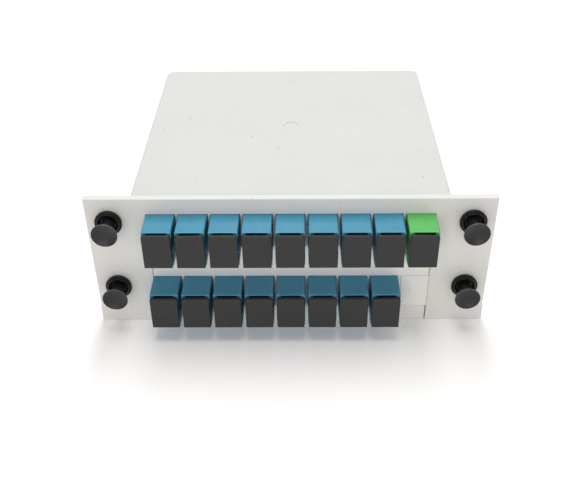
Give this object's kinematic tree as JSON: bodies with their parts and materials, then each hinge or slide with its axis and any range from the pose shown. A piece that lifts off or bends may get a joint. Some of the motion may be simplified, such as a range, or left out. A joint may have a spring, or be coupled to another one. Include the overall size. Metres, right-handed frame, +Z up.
{
  "type": "plc fibre splitter",
  "caption": "Plug-in moulded card box holding a planar fibre splitter, with two rows of capped SC adapters and push-pull latches on its front panel.",
  "frame": {"origin": "bottom centre of the box's bounding box, on the surface it stands on", "axes": "+X to the right of the front panel, +Y from the panel to the back, +Z up"},
  "size_m": [0.1306, 0.1118, 0.0493],
  "materials": {
    "abs_shell": "fine moulded satin",
    "adapter_blue": "satin moulded",
    "adapter_green": "satin moulded",
    "cap_black": "matte moulded",
    "latch_black": "satin moulded nylon",
    "module_steel": "brushed",
    "fibre_jacket": "smooth"
  },
  "bodies": {
    "box": {"top_cover": "abs_shell", "base_tray": "abs_shell", "adapter_holder": "abs_shell", "blank_plug": "abs_shell", "splitter_module": "module_steel", "fibre_loop": "fibre_jacket", "output_adapter_01": "adapter_blue", "output_adapter_02": "adapter_blue", "output_adapter_03": "adapter_blue", "output_adapter_04": "adapter_blue", "output_adapter_05": "adapter_blue", "output_adapter_06": "adapter_blue", "output_adapter_07": "adapter_blue", "output_adapter_08": "adapter_blue", "input_adapter": "adapter_green", "output_adapter_09": "adapter_blue", "output_adapter_10": "adapter_blue", "output_adapter_11": "adapter_blue", "output_adapter_12": "adapter_blue", "output_adapter_13": "adapter_blue", "output_adapter_14": "adapter_blue", "output_adapter_15": "adapter_blue", "output_adapter_16": "adapter_blue", "latch_grommet_lower_left": "latch_black", "latch_grommet_lower_right": "latch_black", "latch_grommet_upper_left": "latch_black", "latch_grommet_upper_right": "latch_black"},
    "output_dust_cap_01": {"output_dust_cap_01": "cap_black"},
    "output_dust_cap_02": {"output_dust_cap_02": "cap_black"},
    "output_dust_cap_03": {"output_dust_cap_03": "cap_black"},
    "output_dust_cap_04": {"output_dust_cap_04": "cap_black"},
    "output_dust_cap_05": {"output_dust_cap_05": "cap_black"},
    "output_dust_cap_06": {"output_dust_cap_06": "cap_black"},
    "output_dust_cap_07": {"output_dust_cap_07": "cap_black"},
    "output_dust_cap_08": {"output_dust_cap_08": "cap_black"},
    "input_dust_cap": {"input_dust_cap": "cap_black"},
    "output_dust_cap_09": {"output_dust_cap_09": "cap_black"},
    "output_dust_cap_10": {"output_dust_cap_10": "cap_black"},
    "output_dust_cap_11": {"output_dust_cap_11": "cap_black"},
    "output_dust_cap_12": {"output_dust_cap_12": "cap_black"},
    "output_dust_cap_13": {"output_dust_cap_13": "cap_black"},
    "output_dust_cap_14": {"output_dust_cap_14": "cap_black"},
    "output_dust_cap_15": {"output_dust_cap_15": "cap_black"},
    "output_dust_cap_16": {"output_dust_cap_16": "cap_black"},
    "latch_plunger_lower_left": {"latch_plunger_lower_left": "latch_black"},
    "latch_plunger_lower_right": {"latch_plunger_lower_right": "latch_black"},
    "latch_plunger_upper_left": {"latch_plunger_upper_left": "latch_black"},
    "latch_plunger_upper_right": {"latch_plunger_upper_right": "latch_black"}
  },
  "joints": [
    {"name": "output_dust_cap_01_pull", "type": "slide", "parent": "box", "child": "output_dust_cap_01", "axis": [0, -1, 0], "range_m": [0, 0.012]},
    {"name": "output_dust_cap_02_pull", "type": "slide", "parent": "box", "child": "output_dust_cap_02", "axis": [0, -1, 0], "range_m": [0, 0.012]},
    {"name": "output_dust_cap_03_pull", "type": "slide", "parent": "box", "child": "output_dust_cap_03", "axis": [0, -1, 0], "range_m": [0, 0.012]},
    {"name": "output_dust_cap_04_pull", "type": "slide", "parent": "box", "child": "output_dust_cap_04", "axis": [0, -1, 0], "range_m": [0, 0.012]},
    {"name": "output_dust_cap_05_pull", "type": "slide", "parent": "box", "child": "output_dust_cap_05", "axis": [0, -1, 0], "range_m": [0, 0.012]},
    {"name": "output_dust_cap_06_pull", "type": "slide", "parent": "box", "child": "output_dust_cap_06", "axis": [0, -1, 0], "range_m": [0, 0.012]},
    {"name": "output_dust_cap_07_pull", "type": "slide", "parent": "box", "child": "output_dust_cap_07", "axis": [0, -1, 0], "range_m": [0, 0.012]},
    {"name": "output_dust_cap_08_pull", "type": "slide", "parent": "box", "child": "output_dust_cap_08", "axis": [0, -1, 0], "range_m": [0, 0.012]},
    {"name": "input_dust_cap_pull", "type": "slide", "parent": "box", "child": "input_dust_cap", "axis": [0, -1, 0], "range_m": [0, 0.012]},
    {"name": "output_dust_cap_09_pull", "type": "slide", "parent": "box", "child": "output_dust_cap_09", "axis": [0, -1, 0], "range_m": [0, 0.012]},
    {"name": "output_dust_cap_10_pull", "type": "slide", "parent": "box", "child": "output_dust_cap_10", "axis": [0, -1, 0], "range_m": [0, 0.012]},
    {"name": "output_dust_cap_11_pull", "type": "slide", "parent": "box", "child": "output_dust_cap_11", "axis": [0, -1, 0], "range_m": [0, 0.012]},
    {"name": "output_dust_cap_12_pull", "type": "slide", "parent": "box", "child": "output_dust_cap_12", "axis": [0, -1, 0], "range_m": [0, 0.012]},
    {"name": "output_dust_cap_13_pull", "type": "slide", "parent": "box", "child": "output_dust_cap_13", "axis": [0, -1, 0], "range_m": [0, 0.012]},
    {"name": "output_dust_cap_14_pull", "type": "slide", "parent": "box", "child": "output_dust_cap_14", "axis": [0, -1, 0], "range_m": [0, 0.012]},
    {"name": "output_dust_cap_15_pull", "type": "slide", "parent": "box", "child": "output_dust_cap_15", "axis": [0, -1, 0], "range_m": [0, 0.012]},
    {"name": "output_dust_cap_16_pull", "type": "slide", "parent": "box", "child": "output_dust_cap_16", "axis": [0, -1, 0], "range_m": [0, 0.012]},
    {"name": "latch_lower_left_push", "type": "slide", "parent": "box", "child": "latch_plunger_lower_left", "axis": [0, 1, 0], "range_m": [0, 0.0052]},
    {"name": "latch_lower_right_push", "type": "slide", "parent": "box", "child": "latch_plunger_lower_right", "axis": [0, 1, 0], "range_m": [0, 0.0052]},
    {"name": "latch_upper_left_push", "type": "slide", "parent": "box", "child": "latch_plunger_upper_left", "axis": [0, 1, 0], "range_m": [0, 0.0052]},
    {"name": "latch_upper_right_push", "type": "slide", "parent": "box", "child": "latch_plunger_upper_right", "axis": [0, 1, 0], "range_m": [0, 0.0052]}
  ]
}
